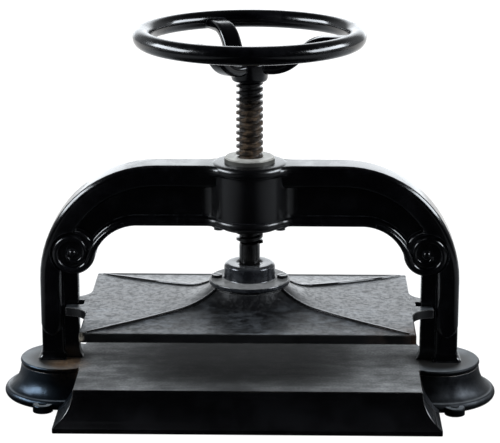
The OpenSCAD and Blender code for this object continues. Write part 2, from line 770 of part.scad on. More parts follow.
// Pin through the collar and the journal
module collar_pin() {
    color(bright_steel) translate([0, 0, collar_z + collar_h / 2]) rotate([0, 90, 0])
        cylinder(h = 2 * collar_r - cut, r = collar_pin_r, center = true);
}

// Stud that ties a leg down to its pedestal
module arch_stud(side) {
    low = base_h - pad_roof - stud_washer_t - stud_nut_h - stud_show;
    color(bright_steel) translate([side * stud_x, 0, low])
        cylinder(h = base_h + stud_grip - low, r = stud_r);
}

// Washer under a pedestal's roof
module arch_washer(side) {
    color(bright_steel) translate([side * stud_x, 0, base_h - pad_roof - stud_washer_t])
        washer(stud_washer_r, stud_r + seat_gap, stud_washer_t);
}

// Nut on a stud, inside a pedestal
module arch_nut(side) {
    color(bright_steel) translate([side * stud_x, 0, base_h - pad_roof - stud_washer_t - stud_nut_h])
        hexagon_nut(stud_nut_af, stud_nut_h, stud_r + seat_gap);
}

base_casting();
arch_casting();
screw_nut();
nut_screw(-1);  // nut_screw_left
nut_screw(1);  // nut_screw_right
press_screw();
handwheel();
wheel_washer();
wheel_nut();
platen();
retaining_cap();
cap_screw(-1);  // cap_screw_left
cap_screw(1);  // cap_screw_right
thrust_disc();
thrust_collar();
collar_pin();
arch_stud(-1);  // arch_stud_left
arch_stud(1);  // arch_stud_right
arch_washer(-1);  // arch_washer_left
arch_washer(1);  // arch_washer_right
arch_nut(-1);  // arch_nut_left
arch_nut(1);  // arch_nut_right
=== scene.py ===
"""A letter copying press in worn black paint: castings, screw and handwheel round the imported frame."""

import math

import bpy
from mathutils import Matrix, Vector


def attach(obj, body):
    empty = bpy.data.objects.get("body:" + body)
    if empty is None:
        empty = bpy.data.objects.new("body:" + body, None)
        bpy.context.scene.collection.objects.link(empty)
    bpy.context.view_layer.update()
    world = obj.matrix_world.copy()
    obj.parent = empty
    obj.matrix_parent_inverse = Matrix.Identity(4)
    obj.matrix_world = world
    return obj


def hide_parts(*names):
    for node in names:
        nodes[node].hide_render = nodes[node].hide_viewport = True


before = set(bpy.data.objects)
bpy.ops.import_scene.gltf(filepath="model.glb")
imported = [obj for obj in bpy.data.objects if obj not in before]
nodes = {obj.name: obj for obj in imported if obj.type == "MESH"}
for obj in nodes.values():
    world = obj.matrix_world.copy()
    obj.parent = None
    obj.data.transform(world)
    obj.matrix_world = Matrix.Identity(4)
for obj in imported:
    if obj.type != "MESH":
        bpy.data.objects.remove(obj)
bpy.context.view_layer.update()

MM = 0.001  # a millimetre in metres
WELD = 0.002 * MM  # points closer than this are merged

# Sizes of the base, in millimetres

BASE_H = 36
BED_W = 319
BED_D = 192
SKIRT_FLARE = 17.5
SKIRT_FOOT = 4.5
BED_HOLLOW = [(0, SKIRT_FLARE - 9), (12, -5), (12.5, -8), (BASE_H - 10, -8)]  # level, spread past the bed
PAD_X = 178  # middle of a pedestal
PAD_R = 40.5
PAD_HOLLOW_R = 30
PAD_ROOF_Z = 24
LUG_X = 192
LUG_Y = 54

# Sizes of the arch

ARCH_TOP = 226.5
BAR_Z = 168  # underside of the crossbar
BAR_END = 27  # where the crossbar's members stop, inside the boss
LEG_IN = 161.5  # inner side of a leg
LEG_X = 186  # middle of a leg's moulding
PLINTH_Z = 62  # top of a leg's plain foot
MOULD_W = 21
MOULD_D = 36
WEB_T = 12
SHOULDER_X = 86.5  # middle of the outer curve
SHOULDER_Z = 116.5
SHOULDER_R = 110
BEND_X = 104.5  # middle of the inner curve from crossbar to leg
BEND_Z = 125.05
BEND_R = 42.95
VOLUTE_X = 165.5
VOLUTE_Z = 142.5
VOLUTE_R = 21.5
BOSS_R = 35
BOSS_BORE = 23.6
UPPER_LIP_R = 31.6
LOWER_LIP_R = 32.4

# Sizes of the platen and its cap

PLATEN_W = 304.8
PLATEN_D = 190.4
PLATEN_Z = 81  # underside of the plate
PLATEN_EDGE = 90  # top of the plate at its edge
PLATEN_HUB = 110.5  # top of the hub
PLATEN_HUB_R = 36.5
WELL_R = 20  # well in the hub for the screw's end
WELL_Z = 95.1  # floor of the well
RIB_T = 4
CAP_LEDGE = PLATEN_HUB + 4.6
CAP_TOP = PLATEN_HUB + 19.6

# Sizes of the wheel and the screw

WHEEL_R = 98.6
RIM_R = 8.37
HUB_Z = 304.1
RIM_Z = 345.1
SPOKE_TURN = -8
THREAD_Z = 148.1  # where the thread starts, above the neck
THREAD_TURNS = 24
LEAD = 6.35
ROOT_R = 9.6
CREST_R = 12.5
NECK_R = 9.7
NECK_Z = 98.25  # lower end of the neck


# Workbench: small moves that every piece is made with


def let_go():
    """Deselects every piece."""
    bpy.ops.object.select_all(action="DESELECT")


def take(*pieces):
    """Selects pieces, with the first of them active."""
    let_go()
    for piece in pieces:
        piece.select_set(True)
    bpy.context.view_layer.objects.active = pieces[0]


def edit_all():
    """Enters edit mode with the whole of the active piece selected."""
    bpy.ops.object.mode_set(mode="EDIT")
    bpy.ops.mesh.select_all(action="SELECT")


def leave_edit():
    bpy.ops.object.mode_set(mode="OBJECT")


def close_up():
    """Merges doubles, turns all faces outwards and leaves edit mode."""
    bpy.ops.mesh.select_all(action="SELECT")
    bpy.ops.mesh.remove_doubles(threshold=WELD)
    bpy.ops.mesh.normals_make_consistent(inside=False)
    leave_edit()


def extrude(step):
    """Extrudes what is selected by a step in metres."""
    bpy.ops.mesh.extrude_region_move(TRANSFORM_OT_translate={"value": step})


def scale(factors, middle=(0, 0, 0)):
    """Scales what is selected about a point in metres."""
    bpy.ops.transform.resize(value=factors, center_override=middle)


def throw_away(piece):
    take(piece)
    bpy.ops.object.delete()


def applied(piece, kind, **settings):
    """Puts a modifier on a piece and applies it."""
    take(piece)
    modifier = piece.modifiers.new(kind.lower(), kind)
    for key, value in settings.items():
        setattr(modifier, key, value)
    bpy.ops.object.modifier_apply(modifier=modifier.name)
    return piece


def eased(piece, width, angle=40):
    """Rounds the piece's sharp edges."""
    limit = math.radians(angle)
    return applied(piece, "BEVEL", width=width * MM, segments=3, limit_method="ANGLE", angle_limit=limit)


def smooth(piece, angle):
    """Shades a piece smooth between its sharp edges, with its large faces kept flat."""
    take(piece)
    bpy.ops.object.shade_smooth_by_angle(angle=math.radians(angle))
    return applied(piece, "WEIGHTED_NORMAL", keep_sharp=True)


def cut_out(piece, tool):
    """Takes the tool's shape out of a piece, then throws the tool away."""
    applied(piece, "BOOLEAN", operation="DIFFERENCE", solver="EXACT", object=tool)
    throw_away(tool)


def joined(name, *pieces):
    """Several pieces made into one."""
    take(*pieces)
    bpy.ops.object.join()
    piece = bpy.context.active_object
    piece.name = piece.data.name = name
    return piece


def repeated(piece, name):
    """Another copy of a piece, with its own mesh."""
    take(piece)
    bpy.ops.object.duplicate()
    copy = bpy.context.active_object
    copy.name = copy.data.name = name
    return copy


def flipped(piece, name, axis):
    """A mirrored copy of a piece."""
    copy = repeated(piece, name)
    factors = [1, 1, 1]
    factors["XYZ".index(axis)] = -1
    edit_all()
    scale(factors)
    close_up()
    return copy


def swung(piece, turn):
    """Turns a piece's mesh round the screw's axis, by an angle in radians."""
    take(piece)
    edit_all()
    bpy.ops.transform.rotate(value=-turn, orient_axis="Z", center_override=(0, 0, 0))
    leave_edit()
    return piece


def drawn_line(name, points):
    """A line of edges through points in millimetres, extruded step by step and left selected in edit mode."""
    let_go()
    spots = [Vector(p) * MM for p in points]
    bpy.ops.mesh.primitive_plane_add(size=MM, location=spots[0])
    line = bpy.context.active_object
    line.name = line.data.name = name
    bpy.ops.object.transform_apply(location=True, rotation=True, scale=True)
    edit_all()
    bpy.ops.mesh.merge(type="CENTER")
    for here, there in zip(spots, spots[1:]):
        extrude(there - here)
    bpy.ops.mesh.select_all(action="SELECT")
    return line


def spun(name, points, middle, axis, steps):
    """A line of points spun once round an axis into a closed piece."""
    piece = drawn_line(name, points)
    bpy.ops.mesh.spin(steps=steps, angle=math.tau, center=Vector(middle) * MM, axis=axis)
    close_up()
    return piece


def turned(name, profile, x=0, y=0, steps=72):
    """A piece turned on an upright axis, from (radius, level) points."""
    return spun(name, [(x + r, y, z) for r, z in profile], (x, y, 0), (0, 0, 1), steps)


def turned_across(name, profile, x, z, steps=72):
    """A piece turned on an axis that runs from front to back, from (radius, y) points."""
    return spun(name, [(x + r, y, z) for r, y in profile], (x, 0, z), (0, 1, 0), steps)


def slab(name, outline, push):
    """A flat outline pushed out into a plate."""
    piece = drawn_line(name, outline)
    bpy.ops.mesh.edge_face_add()
    extrude(Vector(push) * MM)
    close_up()
    return piece


def pair(size):
    """A size as two factors, across and up."""
    return size if isinstance(size, tuple) else (size, size)


def swept(name, section, path, upright=True, level=0.0):
    """A bar extruded through (x, z, direction, size) stations, or (x, y, ...) ones if it lies flat.

    The section is (across, up) points, and a size may be one factor for each.
    """

    def spot(x, run, across):
        return Vector((x, level + across, run) if upright else (x, run, level + across))

    x, run, turn, size = path[0]
    lean = math.radians(turn)
    wide, tall = pair(size)
    first = []
    for across, up in section:
        rise = up * tall
        first.append(spot(x - rise * math.sin(lean), run + rise * math.cos(lean), across * wide))
    piece = drawn_line(name, first)
    bpy.ops.mesh.edge_face_add()
    for (x0, run0, turn0, size0), (x1, run1, turn1, size1) in zip(path, path[1:]):
        here = spot(x1, run1, 0) * MM
        extrude(here - spot(x0, run0, 0) * MM)
        if turn1 != turn0:
            swing = math.radians(turn1 - turn0)
            axis, swing = ("Y", swing) if upright else ("Z", -swing)
            bpy.ops.transform.rotate(value=swing, orient_axis=axis, center_override=here)
        if size1 != size0:
            wide, tall = (new / old for old, new in zip(pair(size0), pair(size1)))
            scale((tall, wide, tall) if upright else (tall, tall, wide), here)
    close_up()
    return piece


def on_circle(cx, cy, r, angle):
    """The point on a circle at an angle in degrees."""
    t = math.radians(angle)
    return cx + r * math.cos(t), cy + r * math.sin(t)


def arc(cx, cy, r, start, end, n):
    """Points on an arc, from one angle to another, in degrees."""
    return [on_circle(cx, cy, r, start + (end - start) * i / n) for i in range(n + 1)]


def arc_path(cx, cy, r, start, end, n, turn):
    """Stations for a sweep along an arc. Their direction is turn at first and keeps step with the arc."""
    points = arc(cx, cy, r, start, end, n)
    return [(x, y, turn + (end - start) * i / n, 1) for i, (x, y) in enumerate(points)]


def rounded_section(w, h, r):
    """A rectangle with round corners as (across, up) points."""
    x, y, n = w / 2 - r, h / 2 - r, 4
    corners = [(x, y, 0), (-x, y, 90), (-x, -y, 180), (x, -y, 270)]
    return [p for cx, cy, t in corners for p in arc(cx, cy, r, t, t + 90, n)]


# Handwheel


def spoke():
    """A flat S-shaped spoke along +X, widening into the rim."""
    hub_level, rim_level = HUB_Z + 11.75, RIM_Z - 2.5
    start, inner, outer, n = 4, 20.2, 72.2, 10
    bend = 2 * math.atan2(rim_level - hub_level, outer - inner)
    r = (outer - inner) / (2 * math.sin(bend))
    rising, levelling = [], []
    for i in range(n + 1):
        a = bend * i / n
        out, up, turn = r * math.sin(a), r * (1 - math.cos(a)), math.degrees(a)
        rising.append((inner + out, hub_level + up, turn, 1))
        levelling.append((outer - out, rim_level - up, turn, 1))
    flare = ((80, 1), (85, 1.03), (89, 1.12), (92, 1.28), (97, 1.36))
    tip = [(x, rim_level, 0, (wide, 1)) for x, wide in flare]
    path = [(start, hub_level, 0, 1)] + rising + levelling[-2::-1] + tip
    return swept("spoke", rounded_section(18, 9.5, 3.6), path)


def wheel_hub():
    """The wheel's bored hub, eased at its top and foot."""
    bore, r, low, top, ease = 7, 17, HUB_Z, HUB_Z + 17, 1.8
    shoulder = r - ease
    profile = (
        [(bore, top), (shoulder, top)]
        + arc(shoulder, top - ease, ease, 90, 0, 5)
        + [(r, low + 3.2), (r - 0.8, low + 0.8), (shoulder, low), (bore, low), (bore, top)]
    )
    return turned("hub", profile)


def make_handwheel():
    """The rim, the hub and the three spokes as one casting."""
    let_go()
    bpy.ops.mesh.primitive_torus_add(
        major_radius=WHEEL_R * MM,
        minor_radius=RIM_R * MM,
        major_segments=144,
        minor_segments=32,
        location=(0, 0, RIM_Z * MM),
    )
    rim = bpy.context.active_object
    bpy.ops.object.transform_apply(location=True, rotation=True, scale=True)
    hub = wheel_hub()
    first = spoke()
    arms = [swung(repeated(first, f"arm_{i}"), math.radians(SPOKE_TURN + 120 * i)) for i in range(3)]
    throw_away(first)
    return smooth(joined("wheel", rim, hub, *arms), 40)


# Press screw


def wound_thread():
    """A right-hand thread wound by a Screw modifier and closed at its ends."""
    groove, ease, crown = ROOT_R + 0.35, CREST_R - 0.3, CREST_R
    profile = [(ROOT_R, 0), (ROOT_R, 0.7), (groove, 1.12), (ease, 1.72), (crown, 1.98)]
    profile += [(crown, 4.05), (ease, 4.31), (groove, 4.91), (ROOT_R, 5.33), (ROOT_R, LEAD)]
    thread = drawn_line("thread", [(r, 0, THREAD_Z - 1 + z) for r, z in profile])
    leave_edit()
    applied(
        thread,
        "SCREW",
        screw_offset=LEAD * MM,
        iterations=THREAD_TURNS,
        angle=math.tau,
        steps=48,
        render_steps=48,
        use_merge_vertices=True,
        merge_threshold=WELD,
    )
    edit_all()
    bpy.ops.mesh.remove_doubles(threshold=WELD)
    bpy.ops.mesh.select_all(action="DESELECT")
    bpy.ops.mesh.select_non_manifold(extend=False, use_wire=False, use_boundary=True)
    bpy.ops.mesh.edge_face_add()
    close_up()
    # Recalculated faces come out inwards on this thread, so they are turned round
    edit_all()
    bpy.ops.mesh.flip_normals()
    leave_edit()
    return thread


def make_screw():
    """The thread with its plain neck below, and the square and tip that hold the wheel."""
    shoulder, inside = THREAD_Z - 1, THREAD_Z + 1.5
    end = [(0, NECK_Z), (NECK_R - 1, NECK_Z), (NECK_R, NECK_Z + 1)]
    neck = turned("neck", end + [(NECK_R, shoulder), (NECK_R - 0.5, inside), (0, inside)])
    r, low, top, ease = 6, HUB_Z + 12, HUB_Z + 28, 0.8
    tip = turned("tip", [(0, low), (r, low), (r, top - ease), (r - ease, top), (0, top)], steps=40)
    half, foot = 6.5, HUB_Z - 1
    corners = [(-half, -half), (half, -half), (half, half), (-half, half)]
    square = slab("square", [(x, y, foot) for x, y in corners], (0, 0, 17))
    return smooth(joined("screw_shaft", wound_thread(), neck, tip, square), 32)


# Arch, modelled as its right half and mirrored


def moulding():
    """The outer moulding, from its rounded end above the plinth up and over to the boss."""
    half, middle = MOULD_W / 2, SHOULDER_R - MOULD_W / 2
    end_z = PLINTH_Z + half
    tip = []
    for a in (1.4, 1.15, 0.9, 0.65, 0.35, 0.0):
        tip.append((LEG_X, end_z - half * math.sin(a), 90, (1, math.cos(a))))
    shoulder = arc_path(SHOULDER_X, SHOULDER_Z, middle, 0, 90, 18, 90)
    path = tip + shoulder + [(BAR_END, ARCH_TOP - half, 180, 1)]
    piece = swept("moulding", rounded_section(MOULD_D, MOULD_W, 5.5), path)
    dish_r, floor_y, deep = VOLUTE_R - 1, 14, 12
    for y in (-floor_y, floor_y + deep):
        profile = [(0, y - deep), (dish_r, y - deep), (dish_r, y), (0, y)]
        cut_out(piece, turned_across("dish", profile, VOLUTE_X, VOLUTE_Z))
    return piece


def to_volute():
    """The direction of the volute's middle from that of the bend, in degrees."""
    return math.degrees(math.atan2(VOLUTE_Z - BEND_Z, VOLUTE_X - BEND_X))


def web():
    """The flat web between the moulding and the bead, and down the inside of the leg."""
    tuck, foot_out, foot_h, n = 3.5, 4, 11, 6
    foot = [(LEG_IN - foot_out * (1 - i / n) ** 2.2, BASE_H + foot_h * i / n) for i in range(n + 1)]
    outline = (
        [(BAR_END, ARCH_TOP - 10)]
        + arc(SHOULDER_X, SHOULDER_Z, SHOULDER_R - MOULD_W / 2, 90, 0, 20)
        + [(LEG_X, BASE_H)]
        + foot
        + [(LEG_IN, VOLUTE_Z)]
        + arc(BEND_X, BEND_Z, BEND_R + tuck, to_volute(), 90, 14)
        + [(BAR_END, BAR_Z + tuck)]
    )
    return eased(slab("web", [(x, -WEB_T / 2, z) for x, z in outline], (0, WEB_T, 0)), 1.4)


def bead():
    """The round bead under the crossbar, which turns down into the volute."""
    tall = 9
    bend = arc_path(BEND_X, BEND_Z, BEND_R + tall / 2, 8, 86, 13, 98)
    return swept("bead", rounded_section(29, tall, 4), bend + [(BAR_END, BAR_Z + tall / 2, 180, 1)])


def scroll():
    """The volute's front: a ridge that leaves the bead, winds inwards and ends at a button."""
    floor_y, ridge_y, middle = 14.5, 15.5, BEND_R + 3.5
    leave, arrive, thin = 74, 18, 0.45
    lead_in = []
    for a in range(leave, arrive - 1, -8):
        x, z = on_circle(BEND_X, BEND_Z, middle, a)
        lead_in.append((x, z, a - 90, thin + (1 - thin) * (leave - a) / (leave - arrive)))
    start, around, draw_in, n = 180 + to_volute(), 510, 12, 56
    first_r = math.hypot(VOLUTE_X - BEND_X, VOLUTE_Z - BEND_Z) - middle
    wound = []
    for i in range(n + 1):
        t = i / n
        a = start + around * t
        x, z = on_circle(VOLUTE_X, VOLUTE_Z, first_r - draw_in * t * t, a)
        wound.append((x, z, a - 270, 1 - 0.5 * t))
    ridge = swept("ridge", rounded_section(9, 7, 3.2), lead_in + wound, level=-ridge_y)
    dished = [(0, 0.8 - floor_y), (8, 0.8 - floor_y), (15, -floor_y), (19, -floor_y - 0.6)]
    edge = arc(VOLUTE_R - 3, 2.2 - floor_y, 3, -80, 0, 5)
    back = [(VOLUTE_R, -1), (VOLUTE_R - 1, 1.5), (0, 1.5)]
    drum = turned_across("drum", dished + edge + back, VOLUTE_X, VOLUTE_Z)
    button_r, low = 4.4, floor_y - 2
    dome = [(0, low), (button_r, low), (button_r, floor_y + 1.6)] + arc(0, floor_y + 0.6, 4, 15, 90, 6)
    button = turned_across("button", [(r, -y) for r, y in dome], VOLUTE_X, VOLUTE_Z, steps=28)
    return joined("scroll", ridge, drum, button)


def plinth():
    """The plain foot of a leg, which spreads on its pedestal but keeps clear of the lowered guide fork."""
    half, fork_clear, top = MOULD_W / 2, 12.7, PLINTH_Z + 10 - BASE_H
    spread = [(0, 14.3), (1.4, 14.1), (2.6, 12.6), (4.4, 11.6), (7, 10.8), (10, half), (top, half)]
    path = []
    for up, outer in spread:
        inner = min(outer, fork_clear)
        deep = 1 + (outer / half - 1) * 0.8
        path.append((LEG_X + (outer - inner) / 2, BASE_H + up, 90, (deep, (outer + inner) / MOULD_W)))
    return swept("plinth", rounded_section(22, MOULD_W, 2.2), path)


def boss_rail(name, z, line_y, ring_r, fillet, section):
    """A lip that leaves the crossbar's front, swings out round the boss and goes back."""
    reach, run_out = ring_r + fillet, 24
    cx, cy = math.sqrt(reach**2 - (line_y + fillet) ** 2), -(line_y + fillet)
    swing = math.degrees(math.asin(cx / reach))
    leave = arc_path(cx, cy, fillet, 90, 90 + swing, 8, 180)
    round_boss = arc_path(0, 0, ring_r, swing - 90, -swing - 90, 24, 180 + swing)[1:]
    back = arc_path(-cx, cy, fillet, 90 - swing, 90, 8, 180 - swing)[1:]
    first, last = (cx + run_out, -line_y, 180, 1), (-cx - run_out, -line_y, 180, 1)
    path = [first] + leave + round_boss + back + [last]
    return swept(name, rounded_section(*section), path, upright=False, level=z)


def boss_fillet():
    """A hollow fillet between the boss and the web, in one corner."""
    r, inside, low = 12.5, 2, BAR_Z + 4
    y = WEB_T / 2 + r
    x = math.sqrt((BOSS_R + r) ** 2 - y**2)
    end = 180 + math.degrees(math.atan2(y, x))
    hollow = [(a, -b) for a, b in arc(x, y, r, 270, end, 10)]
    outline = [(BOSS_BORE + 4, -inside), (x + 1, -inside)] + hollow + [(28, -10)]
    return slab("boss_fillet", [(a, b, low) for a, b in outline], (0, 0, ARCH_TOP - BAR_Z - 14))


def boss():
    """The round boss with its bore, standing between an upper and a lower lip."""
    top, upper, lower = ARCH_TOP + 1, 5, 4.3
    profile = (
        [(BOSS_BORE, BAR_Z), (32, BAR_Z)]
        + arc(LOWER_LIP_R, BAR_Z + lower, lower, -90, 60, 8)
        + [(BOSS_R, BAR_Z + 10), (BOSS_R, top - 13)]
        + arc(UPPER_LIP_R, top - upper, upper, -45, 60, 8)
        + [(UPPER_LIP_R, top), (BOSS_BORE, top), (BOSS_BORE, BAR_Z)]
    )
    return turned("boss", profile, steps=96)


def make_arch():
    """The whole arch: two lips in front, the right half's pieces, and their mirrored copies."""
    front = [
        boss_rail("upper_lip", ARCH_TOP - 5.1, 12.8, UPPER_LIP_R, fillet=24, section=(10, 10, 4.6)),
        boss_rail("lower_lip", BAR_Z + 4.4, 10.2, LOWER_LIP_R, fillet=20, section=(8.6, 8.6, 4)),
    ]
    right = [moulding(), web(), bead(), plinth()]
    for piece in (scroll(), boss_fillet()):
        right += [piece, flipped(piece, piece.name + "_back", "Y")]
    left = [flipped(piece, piece.name + "_left", "X") for piece in right]
    back = [flipped(piece, piece.name + "_back", "Y") for piece in front]
    return smooth(joined("arch", boss(), *front, *back, *right, *left), 38)


# Platen and its cap


def platen_outline():
    """The platen's edge as points in plan, going round."""
    w, d, n = PLATEN_W / 2, PLATEN_D / 2, 24
    corners = [(-w, -d), (w, -d), (w, d), (-w, d)]
    points = []
    for (ax, ay), (bx, by) in zip(corners, corners[1:] + corners[:1]):
        points += [(ax + (bx - ax) * i / n, ay + (by - ay) * i / n) for i in range(n)]
    return points


def platen_curve(s):
    """Size, squareness, level and mean reach of the platen's outline, from its edge (0) to its hub (1)."""
    spread = [math.hypot(x, y) for x, y in platen_outline()]
    mean = sum(spread) / len(spread)
    size = 1 - s * (1 - PLATEN_HUB_R / mean)
    panel_rise, hub_rise, flare_from = 9.5, 9, 0.72
    flare = max(0, (s - flare_from) / (1 - flare_from))
    return size, 1 - s**3, PLATEN_EDGE + panel_rise * s**2 + hub_rise * flare**2.4, mean


def platen_roof():
    """A plate whose panels rise in hollow curves to the hub, with a well for the screw's end."""
    roof = drawn_line("roof", [(x, y, PLATEN_Z) for x, y in platen_outline()])
    bpy.ops.mesh.edge_face_add()
    size, square, z, n = 1, 1, PLATEN_Z, 22
    for i in range(n + 1):
        new_size, new_square, new_z, _ = platen_curve(i / n)
        extrude((0, 0, (new_z - z) * MM))
        scale((new_size / size, new_size / size, 1))
        if new_square < square:
            bpy.ops.transform.tosphere(value=1 - new_square / square, center_override=(0, 0, new_z * MM))
        size, square, z = new_size, new_square, new_z
    for rise, factor in ((PLATEN_HUB - z, 1), (0, WELL_R / PLATEN_HUB_R), (WELL_Z - PLATEN_HUB, 1)):
        extrude((0, 0, rise * MM))
        scale((factor, factor, 1))
    close_up()
    return eased(roof, 1.2, 60)


def diagonal_rib(turn):
    """A thin rib from a corner of the platen up to its hub."""
    corner, inner, root, n = math.hypot(PLATEN_W, PLATEN_D) / 2, 30, PLATEN_Z + 3, 20
    tops = []
    for i in range(1, n + 1):
        size, square, level, mean = platen_curve(i / n)
        proud = 0.6 + 1.2 * min(1, i / 5)
        tops.append((size * (corner * square + mean * (1 - square)), level + proud))
    outline = tops + [(inner, tops[-1][1]), (inner, root), (tops[0][0], root)]
    rib = slab("rib", [(x, -RIB_T / 2, z) for x, z in outline], (0, RIB_T, 0))
    return swung(eased(rib, 1.2), turn)


def guide_fork():
    """The fork on the right edge, which runs on the inside of a leg."""
    edge, half, fillet = PLATEN_W / 2, 17, 20
    end, slot, slot_half = 172.9, 156.9, 6.5
    prong = [(slot, slot_half), (end, slot_half), (end, half)]
    shoulder = arc(edge + fillet, half + fillet, fillet, 270, 180, 8)
    back_half = prong + shoulder + [(edge - 4, half + fillet)]
    outline = [(x, -y) for x, y in reversed(back_half)] + back_half
    return eased(slab("fork", [(x, y, PLATEN_Z + 0.05) for x, y in outline], (0, 0, 8.45)), 1.0)


def make_platen():
    """The plate with its four ribs and a guide fork at each end."""
    slope = math.atan2(PLATEN_D, PLATEN_W)
    ribs = [diagonal_rib(a) for a in (slope, math.pi - slope, math.pi + slope, -slope)]
    fork = guide_fork()
    return smooth(joined("plate", platen_roof(), fork, flipped(fork, "fork_left", "X"), *ribs), 30)


def make_cap():
    """The flanged cap, with a soft fillet under its collar."""
    low, bore, flange_r, collar_r = PLATEN_HUB, NECK_R + 0.06, 38, 24
    profile = (
        [(bore, low), (flange_r - 0.8, low)]
        + arc(flange_r - 1.4, low + 1.4, 1.4, -60, 0, 3)
        + arc(flange_r - 1.6, CAP_LEDGE - 1.6, 1.6, 0, 90, 5)
        + arc(collar_r + 2, CAP_LEDGE + 2, 2, 270, 180, 5)
        + arc(collar_r - 4, CAP_TOP - 4, 4, 0, 90, 7)
        + [(13.5, CAP_TOP), (12.5, CAP_TOP - 0.8), (bore, CAP_TOP - 1.6), (bore, low)]
    )
    return smooth(turned("cap", profile, steps=96), 40)


# Base


def stepped_block(name, levels):
    """A rectangular block extruded through (level, spread past the bed's edge) steps."""
    w, d = BED_W / 2, BED_D / 2
    z, out = levels[0]
    corners = [(-1, -1), (1, -1), (1, 1), (-1, 1)]
    block = drawn_line(name, [(side * (w + out), end * (d + out), z) for side, end in corners])
    bpy.ops.mesh.edge_face_add()
    for new_z, new_out in levels[1:]:
        extrude((0, 0, (new_z - z) * MM))
        scale(((w + new_out) / (w + out), (d + new_out) / (d + out), 1))
        z, out = new_z, new_out
    close_up()
    return block


def bed_block():
    """The bed and its hollow-curved skirt, hollow underneath and open to the pedestals' hollows."""
    cove_h, n = BASE_H - SKIRT_FOOT, 12
    cove_r = (SKIRT_FLARE**2 + cove_h**2) / (2 * SKIRT_FLARE)
    cove = []
    for i in range(n + 1):
        drop = cove_h * i / n
        cove.append((BASE_H - drop, cove_r - math.sqrt(cove_r**2 - drop**2)))
    block = eased(stepped_block("bed", cove + [(0, SKIRT_FLARE)] + BED_HOLLOW), 1.1, 60)
    core = [(0, -1), (PAD_HOLLOW_R, -1), (PAD_HOLLOW_R, PAD_ROOF_Z), (0, PAD_ROOF_Z)]
    for x in (PAD_X, -PAD_X):
        cut_out(block, turned("core", core, x))
    return block


def pedestal():
    """A bell-shaped pedestal, hollow underneath, a hair lower than the bed and open to the bed's hollow."""
    top, foot, ease = BASE_H - 0.06, 0.2, 2
    waist = [(49.5, 10.2), (46.2, 13.2), (43.6, 17), (41.8, 21), (40.7, 25), (40, 29.6)]
    profile = (
        [(PAD_HOLLOW_R, foot), (51, foot)]
        + arc(51.4, 4.5, 4.5, -70, 75, 8)
        + waist
        + [(39.3, 31), (39.4, 31.6)]
        + arc(PAD_R - ease, top - ease, ease, -30, 90, 6)
        + [(0, top), (0, PAD_ROOF_Z), (PAD_HOLLOW_R, PAD_ROOF_Z), (PAD_HOLLOW_R, foot)]
    )
    bell = turned("pedestal", profile, PAD_X, steps=120)
    hollow = [(-1, BED_HOLLOW[0][1])] + BED_HOLLOW[1:]
    cut_out(bell, stepped_block("hollow", [(z, out + 0.3) for z, out in hollow]))
    return bell


def lug():
    """A screw-down lug: a round eye on a short neck."""
    bore, r, tall, ease = 3.6, 9.5, 7, 1.5
    side_up = [(bore, 0), (r, 0), (r, 5.4)]
    over = arc(r - ease, tall - ease, ease, 0, 90, 4)
    eye = turned("eye", side_up + over + [(4.2, tall), (bore, 6.4), (bore, 0)], LUG_X, LUG_Y, steps=48)
    low, neck_half, neck_tall = 0.4, 7.5, 6.5
    way = Vector((LUG_X - PAD_X, LUG_Y, 0)).normalized()
    side = Vector((-way.y, way.x, 0)) * neck_half
    start = Vector((PAD_X, 0, low)) + way * 34
    end = Vector((LUG_X, LUG_Y, low)) - way * 4.4
    neck = slab("neck", [start + side, start - side, end - side, end + side], (0, 0, neck_tall))
    return joined("lug", eye, eased(neck, 1.2))


def make_base():
    """The bed with a pedestal and two lugs at each end."""
    right = [pedestal(), lug()]
    right.append(flipped(right[1], "lug_front", "Y"))
    left = [flipped(piece, piece.name + "_left", "X") for piece in right]
    return smooth(joined("base", bed_block(), *right, *left), 35)


wheel = make_handwheel()
screw_shaft = make_screw()
arch = make_arch()
plate = make_platen()
cap = make_cap()
base = make_base()


# Colours, in linear light: a pair holds the two ends of a mottled or streaked finish

ENAMEL_BLACK = (0.0003, 0.0003, 0.0005), (0.0016, 0.0016, 0.0022)
ENAMEL_RUBBED = (0.03, 0.031, 0.034)
SKIRT_BLACK = (0.0004, 0.0004, 0.0006), (0.0024, 0.0024, 0.0029)
BLUE_BELL = (0.012, 0.0165, 0.0225), (0.026, 0.035, 0.046)
GREY_BELL = (0.008, 0.0088, 0.01), (0.04, 0.0428, 0.047)
BED_GREY = (0.012, 0.012, 0.0122), (0.36, 0.36, 0.355)
PAD_GREY = (0.05, 0.055, 0.06), (0.14, 0.15, 0.158)
# Painted contact shadow round the legs' feet, with some dirt
FOOT_SHADOW_AND_DIRT = (0.006, 0.0055, 0.005)
FOOT_RUST = (0.1, 0.058, 0.03), (0.26, 0.19, 0.13)
BASE_RUBBED = (0.3, 0.285, 0.265), (0.2, 0.15, 0.11)
# Also used as painted shade along the ribs, on the front panel and round the hub
PLATEN_BLACK = (0.0006, 0.0006, 0.0008), (0.0028, 0.0028, 0.0034)
PLATEN_WORN = (0.004, 0.0044, 0.005), (0.09, 0.097, 0.105)
PLATEN_BROWN = (0.035, 0.019, 0.012)
PLATEN_CHIP = (0.24, 0.21, 0.17)
PLATEN_RUBBED = (0.12, 0.118, 0.114)
CAP_BLACK = (0.012, 0.013, 0.016), (0.045, 0.048, 0.054)
CAP_DUST = (0.2, 0.195, 0.188)
DARK_IRON = (0.006, 0.006, 0.0065), (0.02, 0.0195, 0.0195)
IRON_RUBBED = (0.3, 0.29, 0.275)
OILY_BLACK = (0.0025, 0.0024, 0.0024), (0.01, 0.0095, 0.009)
THREAD_RUST = (0.018, 0.0105, 0.005), (0.062, 0.036, 0.0165)
NUT_BRONZE = (0.28, 0.268, 0.24), (0.44, 0.428, 0.39)
# Sides of the nut: grime with painted shade
NUT_GRIME_AND_SHADE = (0.05, 0.048, 0.042)
NUT_PAINT = (0.004, 0.004, 0.0045)
TURNED_STEEL = (0.3, 0.3, 0.31), (0.42, 0.41, 0.4)
